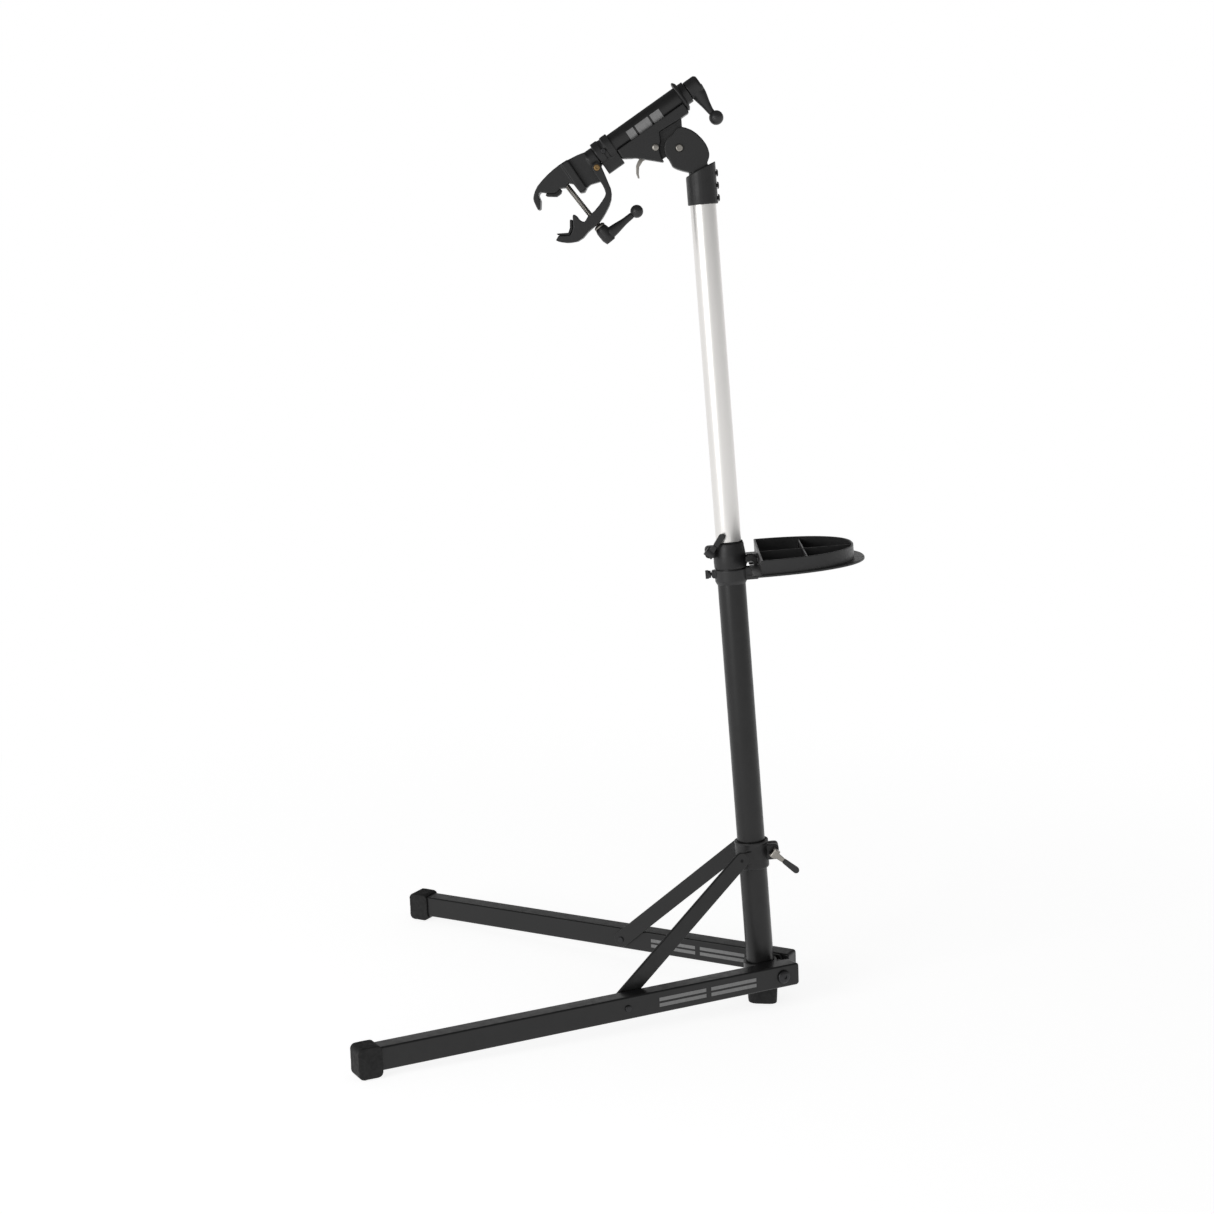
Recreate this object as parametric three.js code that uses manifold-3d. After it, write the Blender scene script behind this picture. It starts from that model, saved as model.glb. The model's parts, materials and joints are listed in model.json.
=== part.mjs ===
// Folding bike repair stand: a leaning telescopic mast on two fold-up legs and a post foot,
// with a tool tray and a tilting, rotating frame clamp.
// Units are millimetres, +Z is up, the origin is the centre of the post foot's sole.
// The legs and the clamp arm point towards -X, the tray towards +X, the near leg is on -Y.
import * as THREE from "three";
import { mergeVertices } from "three/addons/utils/BufferGeometryUtils.js";
import Module from "manifold-3d";

const wasm = await Module();
wasm.setup();

// ---------- Driving dimensions ----------
const DEG = Math.PI / 180;
const GAP = 0.3; // running and seating clearance
const ROUND = 28; // sides of everything centred on the mast or the arm
const SMALL = 12; // sides of bolts and pins

const LEAN = 6.1 * DEG; // the mast leans towards -X
const LOWER = { r: 19.6, bore: 18.1, bottom: 10, top: 663 };
const UPPER = { r: 17.5, bore: 15.7, bottom: 480, top: 1160 };

const LEG = {
  spread: 28.7 * DEG, // half angle of the V, seen from above
  pivot: [19, 31.5, 49],
  length: 638, // pivot to the end of the foot cap
  footHeight: 23.3,
  width: 26,
  height: 31.5,
  wall: 2,
  tail: 26, // beyond the pivot
};
const BRACE = { onLeg: 248.4, ear: [38.2, 171.3], width: 23, thick: 5 };
const FOOT_CAP = { length: 33, width: 32, height: 44, grip: 26 };

const COLLAR = { bottom: 198, top: 238, r: 23.4 }; // the sliding fold collar
const CLAMP = { bottom: 629, top: 664, r: 22.8 }; // the height clamp
const TRAY_RING = { bottom: 606, top: 627.5, r: 22.6 };
// The tray is square to the mast. Its lip reaches further out than its wall.
const TRAY = { top: 651, depth: 22, floor: 2.4, ribTop: 19 };
const TRAY_LIP = { back: 26, tip: 185.5, half: 119 };
const TRAY_WALL = { back: 38.6, tip: 171, half: 113.4 };
const TRAY_INSIDE = { back: 41, tip: 168.6, half: 111 };

const HEAD = [-26.3, 0, 1202.3]; // tilt bolt, in the mast's frame
const SOCKET = { r: 20.6, bottom: 1125.5, top: 1186 };
const SOCKET_SCREWS = [1133, 1149.5, 1166]; // heights
const FORK = { inner: 7.4, outer: 15, rim: 20.4 };

const ARM_ANGLE = 36.1 * DEG; // the arm rises towards its rear end
const ARM = { height: 55, r: 15.1, bore: 12.8, front: -97, rear: 51 };
const LATCH_PIVOT = [-25.8, 18.8];
const JAW_PIN = [-105.5, 41.8];
const JAW_NECK = -97.4; // rear end of the jaw head
const JAW_HALF = 20;
const CLAW_HALF = 19;
const HINGE_HALF = 12.6;
const SCREW = { top: [-153, 57], seat: [-147.5, -20], r: 4, end: 103 };
const CRANK = { reach: 52, knob: 8.8, drop: 14.5 };

// Shank radii
const PIN = 3;
const BOLT = 4;
const SKEWER = 2.6;
const SET_SCREW = 2.5;
const KNOB_SCREW = 2.2;

// Rivet and bolt heads, as [radius, height] profiles
const RIVET_HEAD = [[0, 0], [5, 0], [4.2, 1.9], [0, 2.5]];
const FLAT_HEAD = [[0, 0], [4.5, 0], [4, 1.6], [0, 1.9]];

// ---------- Materials ----------
const finish = (color, roughness, metalness) =>
  new THREE.MeshStandardMaterial({ color, roughness, metalness });
const PAINT = finish(0x1d1e20, 0.45, 0.3);
const CAST = finish(0x202124, 0.55, 0.3);
const PLASTIC = finish(0x1b1c1e, 0.6, 0);
const RUBBER = finish(0x161617, 0.85, 0);
const SILVER = finish(0xc9c8c4, 0.35, 0.9);
const STEEL = finish(0xb9bbbe, 0.3, 0.95);
const BLACK_STEEL = finish(0x2b2c2e, 0.4, 0.8);
const BRASS = finish(0xb09252, 0.35, 0.9);

// ---------- Solids ----------
// A closed geometry as a solid with its faces pointing out.
function solid(geometry) {
  const bare = new THREE.BufferGeometry();
  bare.setAttribute("position", geometry.getAttribute("position").clone());
  if (geometry.index) bare.setIndex(geometry.index.clone());
  const merged = mergeVertices(bare, 1e-4);
  const data = {
    numProp: 3,
    vertProperties: merged.attributes.position.array,
    triVerts: new Uint32Array(merged.index.array),
  };
  const made = new wasm.Manifold(new wasm.Mesh(data));
  if (made.volume() > 0) return made;
  for (let i = 0; i < data.triVerts.length; i += 3)
    [data.triVerts[i], data.triVerts[i + 1]] = [data.triVerts[i + 1], data.triVerts[i]];
  return new wasm.Manifold(new wasm.Mesh(data));
}

const join = (first, ...rest) => rest.reduce((all, next) => all.add(next), first);
const cut = (first, ...rest) => rest.reduce((all, next) => all.subtract(next), first);
const vec = (p) => new THREE.Vector3(...p);

function block(x0, x1, y0, y1, z0, z1) {
  const g = new THREE.BoxGeometry(x1 - x0, y1 - y0, z1 - z0);
  g.translate((x0 + x1) / 2, (y0 + y1) / 2, (z0 + z1) / 2);
  return solid(g);
}

// A round bar or cone between two points.
function bar(from, to, r, segments = SMALL, rEnd = r) {
  const a = vec(from);
  const b = vec(to);
  const g = new THREE.CylinderGeometry(rEnd, r, a.distanceTo(b), segments);
  const turn = new THREE.Quaternion().setFromUnitVectors(
    new THREE.Vector3(0, 1, 0),
    b.clone().sub(a).normalize(),
  );
  g.applyQuaternion(turn);
  g.translate(...a.add(b).multiplyScalar(0.5).toArray());
  return solid(g);
}

function ball(centre, r, segments = 14) {
  const g = new THREE.SphereGeometry(r, segments, Math.round(segments * 0.6));
  g.translate(...centre);
  return solid(g);
}

// A profile of [radius, height] points turned about +Z, or about another axis at a place.
function turned(profile, { segments = ROUND, at = [0, 0, 0], axis = [0, 0, 1] } = {}) {
  const closed = [...profile, profile[0]].map(([r, z]) => new THREE.Vector2(r, z));
  const g = new THREE.LatheGeometry(closed, segments);
  g.applyQuaternion(
    new THREE.Quaternion().setFromUnitVectors(new THREE.Vector3(0, 1, 0), vec(axis).normalize()),
  );
  g.translate(...at);
  return solid(g);
}

// A pin whose head, a [radius, height] profile, sits just clear of `seat` and whose shank ends at `end`.
function headed(seat, end, r, head, segments = SMALL) {
  const axis = vec(seat).sub(vec(end)).normalize();
  const inHead = vec(seat).addScaledVector(axis, 1).toArray();
  return join(
    bar(end, inHead, r),
    turned(head.map(([radius, z]) => [radius, z + GAP]), { segments, at: seat, axis: axis.toArray() }),
  );
}

const tube = (r, bore, z0, z1) => turned([[bore, z0], [r, z0], [r, z1], [bore, z1]]);

// An outline of [x, z] points between two y values.
function plate(outline, y0, y1) {
  const g = extruded(outline, y1 - y0);
  g.rotateX(Math.PI / 2);
  g.translate(0, y1, 0);
  return solid(g);
}

// An outline of [x, y] points between two z values.
function slab(outline, z0, z1) {
  const g = extruded(outline, z1 - z0);
  g.translate(0, 0, z0);
  return solid(g);
}

function extruded(outline, depth) {
  const shape = new THREE.Shape(outline.map(([x, y]) => new THREE.Vector2(x, y)));
  return new THREE.ExtrudeGeometry(shape, { depth, bevelEnabled: false });
}

// Points on an arc, with angles in degrees.
function arc([x, z], r, from, to, steps = 10) {
  return Array.from({ length: steps + 1 }, (_, i) => {
    const angle = (from + ((to - from) * i) / steps) * DEG;
    return [x + r * Math.cos(angle), z + r * Math.sin(angle)];
  });
}

// A smooth line through points.
function smooth(points, steps) {
  const curve = new THREE.SplineCurve(points.map(([x, z]) => new THREE.Vector2(x, z)));
  return curve.getPoints(steps).map((p) => [p.x, p.y]);
}

// A rectangle with rounded corners, centred on x and z.
function rounded(x0, x1, z0, z1, r) {
  return [
    ...arc([x1 - r, z1 - r], r, 0, 90, 4),
    ...arc([x0 + r, z1 - r], r, 90, 180, 4),
    ...arc([x0 + r, z0 + r], r, 180, 270, 4),
    ...arc([x1 - r, z0 + r], r, 270, 360, 4),
  ];
}

// ---------- Scene graph ----------
const stand = new THREE.Group();

function group(parent, matrix) {
  const g = new THREE.Group();
  g.applyMatrix4(matrix);
  parent.add(g);
  return g;
}

function add(parent, name, made, material) {
  const { vertProperties, triVerts } = made.getMesh();
  const g = new THREE.BufferGeometry();
  g.setAttribute("position", new THREE.BufferAttribute(vertProperties, 3));
  g.setIndex(new THREE.BufferAttribute(triVerts, 1));
  const faceted = g.toNonIndexed();
  faceted.computeVertexNormals();
  const mesh = new THREE.Mesh(faceted, material);
  mesh.name = name;
  parent.add(mesh);
}

const mastMatrix = new THREE.Matrix4().makeRotationY(-LEAN);
const mast = group(stand, mastMatrix);
const mastAxis = new THREE.Vector3(0, 0, 1).transformDirection(mastMatrix);
const toMast = mastMatrix.clone().invert();
const inMast = (made, matrix) => made.transform(matrix.toArray()).transform(toMast.toArray());

// The frame of one leg: X runs to its foot, Z up, and its inner side is side * Y.
function legFrame(side) {
  const [px, py, pz] = LEG.pivot;
  const drop = Math.asin((pz - LEG.footHeight) / LEG.length);
  const along = new THREE.Vector3(
    -Math.cos(LEG.spread) * Math.cos(drop),
    side * Math.sin(LEG.spread) * Math.cos(drop),
    -Math.sin(drop),
  );
  const across = mastAxis.clone().cross(along).normalize();
  const up = along.clone().cross(across);
  const outward = across.clone().cross(mastAxis); // square to the mast, in the fold plane
  const pivot = new THREE.Vector3(px, side * py, pz);
  const matrix = new THREE.Matrix4().makeBasis(along, across, up).setPosition(pivot);
  return { side, along, across, outward, pivot, matrix };
}
const legFrames = { near: legFrame(-1), far: legFrame(1) };

// Distance from a leg's mid plane to its brace's mid plane, and to the brace's inner plane.
const BRACE_OFFSET = LEG.width / 2 + 0.6 + BRACE.thick / 2;
const EAR_THICK = 4;
const EAR_OFFSET = BRACE_OFFSET + BRACE.thick / 2 + GAP + EAR_THICK / 2;

// A place in a leg's fold plane, as outward and upward distances from the pivot and an inward offset.
const foldPlace = (frame, out, up, inward) =>
  frame.pivot.clone()
    .addScaledVector(frame.outward, out)
    .addScaledVector(mastAxis, up)
    .addScaledVector(frame.across, frame.side * inward);

// ---------- Base ----------
function base() {
  add(mast, "lower_tube", tube(LOWER.r, LOWER.bore, LOWER.bottom, LOWER.top), PAINT);

  // The post foot stands flat on the floor and takes the leaning tube in a blind socket.
  const half = 20.5;
  const foot = slab(rounded(-half - 1, half - 1, -half, half, 11), 0, 24);
  const hole = bar([0, 0, LOWER.bottom - 1], [0, 0, 60], LOWER.r + GAP, ROUND);
  add(stand, "post_foot", cut(foot, hole.transform(mastMatrix.toArray())), RUBBER);

  // The leg bracket is a sleeve with a wing along the inner side of each leg.
  let bracket = tube(24, LOWER.r + GAP, 30, 60);
  for (const frame of Object.values(legFrames)) {
    const inner = frame.side * BRACE_OFFSET;
    const y0 = inner - BRACE.thick / 2;
    const wing = plate(rounded(-17, 30, -15, 15, 6), y0, y0 + BRACE.thick);
    bracket = bracket.add(inMast(wing, frame.matrix));
  }
  bracket = cut(bracket, bar([0, 0, 20], [0, 0, 90], LOWER.r + GAP, ROUND));
  for (const frame of Object.values(legFrames)) {
    const hole = bar([0, 0, 0], [0, frame.side * (BRACE_OFFSET + BRACE.thick), 0], BOLT + GAP);
    bracket = bracket.subtract(inMast(hole, frame.matrix));
  }
  add(mast, "leg_bracket", bracket, PAINT);
}

// ---------- Legs and braces ----------
function leg(name, frame) {
  const { side } = frame;
  const place = group(stand, frame.matrix);
  const { width, height, wall, tail, length } = LEG;
  const [w, h] = [width / 2, height / 2];
  const end = length - FOOT_CAP.length + FOOT_CAP.grip;

  const corner = 5;
  const outline = [
    [end, -h],
    [end, h],
    ...arc([-tail + corner, h - corner], corner, 90, 180, 5),
    ...arc([-tail + corner, -h + corner], corner, 180, 270, 5),
  ];
  const bore = block(-tail + wall, end + 1, -w + wall, w - wall, -h + wall, h - wall);
  const pivotHole = bar([0, -w - 1, 0], [0, w + 1, 0], BOLT + GAP);
  const braceHole = bar([BRACE.onLeg, -w - 1, 0], [BRACE.onLeg, w + 1, 0], PIN + GAP);
  add(place, `leg_${name}`, cut(plate(outline, -w, w), bore, pivotHole, braceHole), PAINT);

  // Foot cap: a soft boot that is taller and wider than the leg.
  const { length: capLength, width: capWidth, height: capHeight, grip } = FOOT_CAP;
  const boot = plate(rounded(length - capLength, length, -capHeight / 2 - 1, capHeight / 2 - 3, 7),
    -capWidth / 2, capWidth / 2);
  const corners = [-1, 1].map((s) =>
    block(-9, 9, -9, 9, -40, 40).transform(
      new THREE.Matrix4().makeTranslation(length + 8.5, s * (capWidth / 2 + 8.5), 0)
        .multiply(new THREE.Matrix4().makeRotationZ(45 * DEG)).toArray(),
    ));
  const legSocket = block(length - capLength - 1, length - capLength + grip + GAP,
    -w - GAP, w + GAP, -h - GAP, h + GAP);
  const level = new THREE.Matrix4().copy(frame.matrix).invert();
  const floor = block(-900, 200, -500, 500, -60, 0).transform(level.toArray());
  add(place, `foot_cap_${name}`, cut(boot, legSocket, ...corners, floor), RUBBER);

  // Pivot bolt: a large round head outside, threaded into the bracket's wing inside.
  const outer = -side * w;
  const boltEnd = side * (BRACE_OFFSET + 1.5);
  const pivotHead = [[0, 0], [9.6, 0], [9.6, 2], [7.4, 4], [0, 4.6]];
  const pivotBolt = headed([0, outer, 0], [0, boltEnd, 0], BOLT, pivotHead, ROUND);
  add(place, `leg_bolt_${name}`, pivotBolt, BLACK_STEEL);

  const braceBolt = headed([BRACE.onLeg, outer, 0], [BRACE.onLeg, side * w, 0], PIN, RIVET_HEAD);
  add(place, `brace_bolt_${name}`, braceBolt, BLACK_STEEL);
}

// The brace's frame: X runs from its ear down to its foot on the leg.
function braceFrame(frame) {
  const ear = foldPlace(frame, ...BRACE.ear, BRACE_OFFSET);
  const foot = frame.pivot.clone()
    .addScaledVector(frame.along, BRACE.onLeg)
    .addScaledVector(frame.across, frame.side * BRACE_OFFSET);
  const length = ear.distanceTo(foot);
  const along = foot.sub(ear).normalize();
  const up = along.clone().cross(frame.across);
  return { length, matrix: new THREE.Matrix4().makeBasis(along, frame.across, up).setPosition(ear) };
}

function brace(name, frame) {
  const { side } = frame;
  const { length, matrix } = braceFrame(frame);
  const place = group(stand, matrix);
  const [r, t] = [BRACE.width / 2, BRACE.thick / 2];
  const outline = [...arc([length, 0], r, -90, 90, 8), ...arc([0, 0], r, 90, 270, 8)];
  const holes = [0, length].map((x) => bar([x, -10, 0], [x, 10, 0], PIN + GAP));
  add(place, `brace_${name}`, cut(plate(outline, -t, t), ...holes), PAINT);

  // The foot pin stops at the brace's outer face, so that the pivot on the leg stays open.
  const footPin = headed([length, side * t, 0], [length, -side * t, 0], PIN, FLAT_HEAD);
  add(place, `brace_pin_${name}`, footPin, BLACK_STEEL);

  const earPin = headed([0, side * (t + GAP + EAR_THICK), 0], [0, -side * t, 0], PIN, FLAT_HEAD);
  add(place, `ear_pin_${name}`, earPin, BLACK_STEEL);
}

// ---------- Quick-release levers ----------
// A skewer runs along Y through the lugs. The lever's cam sits on its -Y end, and the arm
// points along `direction`, an angle in the X-Z plane.
function quickRelease(parent, name, { x, z, lug, direction, arm, grip, camY }) {
  const nutY = lug + 0.3;
  const skewer = join(
    bar([x, -lug - 2, z], [x, nutY + 2, z], SKEWER),
    bar([x, nutY, z], [x, nutY + 5, z], 5.2, 6),
  );
  add(parent, `${name}_skewer`, skewer, BLACK_STEEL);

  const place = group(parent, new THREE.Matrix4().makeTranslation(x, camY, z)
    .multiply(new THREE.Matrix4().makeRotationY(-direction)));
  // The cam turns about its own Z, so a groove behind its core leaves the skewer's end free.
  const slit = SKEWER + GAP;
  const groove = cut(
    join(block(-9, 0, -4, 9, -slit, slit), block(-1, slit, 0, 9, -slit, slit)),
    bar([0, 0, -slit - 1], [0, 0, slit + 1], 4),
  );
  const cam = cut(
    join(
      bar([0, 0, -6.5], [0, 0, 6.5], 6),
      plate([[0, -4.5], [0, 4.5], [arm, 3.2], [arm, -3.2]], -4.6, -1),
    ),
    groove,
  );
  add(place, `${name}_lever`, cam, name === "fold" ? STEEL : PLASTIC);
  const tip = plate(
    [
      [arm + GAP, -3.4],
      [arm + GAP, 3.4],
      ...arc([arm + grip - 4.6, 0], 4.6, 90, -90, 6),
    ],
    -6,
    -0.6,
  );
  add(place, `${name}_lever_grip`, tip, PLASTIC);
}

// ---------- Fold collar ----------
function foldCollar() {
  const { bottom, top, r } = COLLAR;
  const bore = LOWER.r + 0.4;
  let collar = turned([
    [bore, bottom],
    [r - 1, bottom],
    [r, bottom + 2],
    [r, top - 4],
    [r + 0.8, top - 4],
    [r + 0.8, top],
    [bore, top],
  ]);
  const lugs = plate(rounded(18, 38, 209, 231, 5), -11, 11);
  collar = collar.add(lugs);
  const earMatrix = (frame) => new THREE.Matrix4()
    .makeBasis(frame.outward, frame.across, mastAxis.clone().negate())
    .setPosition(foldPlace(frame, ...BRACE.ear, EAR_OFFSET));
  for (const frame of Object.values(legFrames)) {
    // An ear plate on the inner side of each brace's upper end.
    const matrix = earMatrix(frame);
    const ear = plate([...arc([0, 0], 8.5, -90, 90, 8), [-30, 8.5], [-30, -8.5]], -2, 2);
    collar = collar.add(inMast(ear, matrix));
  }
  collar = cut(
    collar,
    bar([0, 0, bottom - 1], [0, 0, top + 1], bore, ROUND),
    block(0, 50, -1.2, 1.2, bottom - 1, top + 1),
    bar([31, -20, 220], [31, 20, 220], SKEWER + GAP),
  );
  for (const frame of Object.values(legFrames)) {
    collar = collar.subtract(inMast(bar([0, -10, 0], [0, 10, 0], PIN + GAP), earMatrix(frame)));
  }
  add(mast, "fold_collar", collar, CAST);
  quickRelease(mast, "fold", {
    x: 31, z: 220, lug: 11, direction: -42 * DEG, arm: 16, grip: 27, camY: -17.4,
  });
}

// ---------- Height clamp ----------
function heightClamp() {
  const { bottom, top, r } = CLAMP;
  const bore = LOWER.r + GAP;
  const barrel = turned([
    [bore, bottom],
    [r - 0.4, bottom],
    [r, bottom + 9],
    [r - 0.3, bottom + 18],
    [r - 2, top - 5],
    [r - 2.4, top],
    [bore, top],
  ]);
  const lugs = plate(rounded(-34, -17, 645, 661, 5), -10, 10);
  const clamp = cut(
    barrel.add(lugs),
    bar([0, 0, bottom - 1], [0, 0, top + 1], bore, ROUND),
    block(-50, 0, -1.2, 1.2, bottom - 1, top + 1),
    bar([-27.5, -20, 653], [-27.5, 20, 653], SKEWER + GAP),
  );
  add(mast, "height_clamp", clamp, CAST);
  quickRelease(mast, "height", {
    x: -27.5, z: 653, lug: 10, direction: 50 * DEG, arm: 13, grip: 20, camY: -16.4,
  });
  const sleeve = tube(LOWER.r - 0.1, UPPER.r + GAP, LOWER.top + GAP, LOWER.top + 3);
  add(mast, "mast_seal", sleeve, RUBBER);
}

// ---------- Tray ----------
function tray() {
  const { bottom, top, r } = TRAY_RING;
  const bore = LOWER.r + GAP;
  const socketX = [30, 37.5];
  const knobZ = 621.5;
  const arch = (y) => cut(
    plate([
      ...arc([28, 633], 12, 0, 180, 10).map(([x, z]) => [Math.min(x, 37.5), z]),
      [16, 611],
      [37.5, 611],
    ], y - 1.8, y + 1.8),
    plate([...arc([28, 631], 6, 0, 180, 8), [22, 617], [34, 617]], y - 3, y + 3),
  );
  const ring = turned([
    [bore, bottom],
    [r - 2.4, bottom],
    [r, bottom + 5],
    [r, top],
    [bore, top],
  ]);
  const bracket = join(
    ring,
    arch(-8),
    arch(8),
    block(socketX[0], socketX[1], -9.8, 9.8, 614, 628),
    plate(rounded(-27, -18, 616, 627, 3), -7, 7),
  );
  const made = cut(
    bracket,
    bar([0, 0, bottom - 1], [0, 0, top + 20], bore, ROUND),
    bar([0, 0, top + GAP], [0, 0, top + 30], CLAMP.r + GAP, ROUND),
    block(socketX[0] + 2, socketX[1] - 2, -6.4, 6.4, 616, 640),
    bar([-40, 0, knobZ], [0, 0, knobZ], KNOB_SCREW + GAP),
    block(18, 26, -6.2, 6.2, 600, 660),
  );
  add(mast, "tray_ring", made, PLASTIC);

  const knob = join(
    bar([-32, 0, knobZ], [-LOWER.r - 2 * GAP, 0, knobZ], KNOB_SCREW),
    turned([[0, 0], [5.2, 0.4], [5.2, 4.6], [0, 5]], {
      segments: SMALL,
      at: [-27.5, 0, knobZ],
      axis: [-1, 0, 0],
    }),
    block(-35.5, -31, -1.6, 1.6, knobZ - 6, knobZ + 6),
  );
  add(mast, "tray_knob", knob, PLASTIC);

  // A half oval dish with a lip around its sole, a divider along it and one across.
  const oval = ({ back, tip, half }) => {
    const bulge = 0.86; // fuller than an ellipse near the straight edge
    return Array.from({ length: 29 }, (_, i) => {
      const angle = (-90 + (180 * i) / 28) * DEG;
      const [c, s] = [Math.cos(angle), Math.sin(angle)];
      const x = back + (tip - back) * Math.pow(Math.max(c, 0), bulge);
      return [x, half * Math.sign(s) * Math.pow(Math.abs(s), bulge)];
    });
  };
  const sole = TRAY.top - TRAY.depth;
  const [floor, ribTop] = [sole + TRAY.floor, sole + TRAY.ribTop];
  const lip = cut(slab(oval(TRAY_LIP), sole, sole + 3), block(0, TRAY_WALL.back, -11, 11, sole - 1, sole + 4));
  const ribs = join(
    block(TRAY_WALL.back, TRAY_LIP.tip, -1, 1, sole + 1, ribTop),
    block(101, 103, -TRAY_LIP.half, TRAY_LIP.half, sole + 1, ribTop),
  ).intersect(slab(oval(TRAY_WALL), sole, TRAY.top));
  const dish = cut(
    join(slab(oval(TRAY_WALL), sole, TRAY.top), lip),
    slab(oval(TRAY_INSIDE), floor, TRAY.top + 1),
  );
  // The tongue drops between the arches into their socket.
  const tongue = join(
    block(socketX[0] + 2.4, socketX[1] - 2.4, -5.9, 5.9, 616.4, 646),
    block(socketX[0] + 2.4, TRAY_WALL.back + 1, -5.9, 5.9, 640, 646),
  );
  add(mast, "tray", join(dish, ribs, tongue), PLASTIC);
}

// ---------- Upper mast ----------
function upperMast() {
  add(mast, "upper_tube", tube(UPPER.r, UPPER.bore, UPPER.bottom, UPPER.top), SILVER);
  const bush = turned([
    [0, UPPER.bottom - 24],
    [LOWER.bore - 0.4, UPPER.bottom - 24],
    [LOWER.bore - 0.4, UPPER.bottom - GAP],
    [UPPER.bore - GAP, UPPER.bottom - GAP],
    [UPPER.bore - GAP, UPPER.bottom + 20],
    [0, UPPER.bottom + 20],
  ]);
  add(mast, "guide_bush", bush, PLASTIC);

  // The head casting: a socket on the tube, a short neck and a fork for the tilt joint.
  const [bx, , bz] = HEAD;
  const about = (points) => points.map(([x, z]) => [bx + x, bz + z]);
  const outline = about([
    ...arc([0, 0], FORK.rim, 112, 222, 10),
    ...smooth([[-11, -23.5], [-3.2, -28.2], [14.8, -33.7], [30, -30], [37, -20], [39.5, -9.9],
      [34.5, 4.7], [21.2, 20], [5.4, 27.4], [-2, 25.5]], 20),
  ]);
  const socket = cut(
    bar([0, 0, SOCKET.bottom], [0, 0, SOCKET.top], SOCKET.r, ROUND),
    plate([[-60, 1146], [60, 1199], [60, 1260], [-60, 1260]], -40, 40), // its slanted upper face
  );
  const neck = bar([0, 0, SOCKET.top - 40], [-5, 0, bz - 8], 14.6, 24, 13);
  const sweep = 46; // half size of the space that the arm's tongue turns in
  const slot = join(
    bar([bx, -FORK.inner, bz], [bx, FORK.inner, bz], 19, ROUND),
    plate(about([[0, 0], ...arc([0, 0], sweep, 28, 234, 12)]), -FORK.inner, FORK.inner),
  );
  const casting = cut(
    join(plate(outline, -FORK.outer, FORK.outer), socket, neck),
    slot,
    bar([0, 0, SOCKET.bottom - 1], [0, 0, UPPER.top + 1], UPPER.r + GAP, ROUND),
    bar([bx, -30, bz], [bx, 30, bz], BOLT + GAP),
    ...SOCKET_SCREWS.map((z) => bar([10, 0, z], [40, 0, z], SET_SCREW + GAP)),
  );
  add(mast, "head_casting", casting, CAST);

  SOCKET_SCREWS.forEach((z, i) => {
    const screw = headed([SOCKET.r, 0, z], [UPPER.r + 2 * GAP, 0, z], SET_SCREW, RIVET_HEAD);
    add(mast, `socket_screw_${i + 1}`, screw, PAINT);
  });

  const { outer } = FORK;
  const tiltHead = [[0, 0], [5, 0], [5, 2.7], [3.6, 3.7], [0, 3.7]];
  const tiltBolt = headed([bx, -outer, bz], [bx, outer + 5, bz], BOLT, tiltHead, 20);
  add(mast, "tilt_bolt", tiltBolt, STEEL);
  const nut = cut(
    bar([bx, outer + GAP, bz], [bx, outer + 6, bz], 8, 6),
    bar([bx, 0, bz], [bx, 40, bz], BOLT + GAP),
  );
  add(mast, "tilt_nut", nut, STEEL);
}

// ---------- Arm ----------
// Everything here is in the arm's frame: X runs to the rear end, Z square to the arm,
// with the tilt bolt at the origin.
const armMatrix = new THREE.Matrix4()
  .makeTranslation(...vec(HEAD).applyMatrix4(mastMatrix).toArray())
  .multiply(new THREE.Matrix4().makeRotationY(-ARM_ANGLE));
const armGroup = group(stand, armMatrix);

// A profile of [radius, x] points turned about the arm's own axis.
const onArm = (profile) => turned(profile, { at: [0, 0, ARM.height], axis: [1, 0, 0] });

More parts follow.
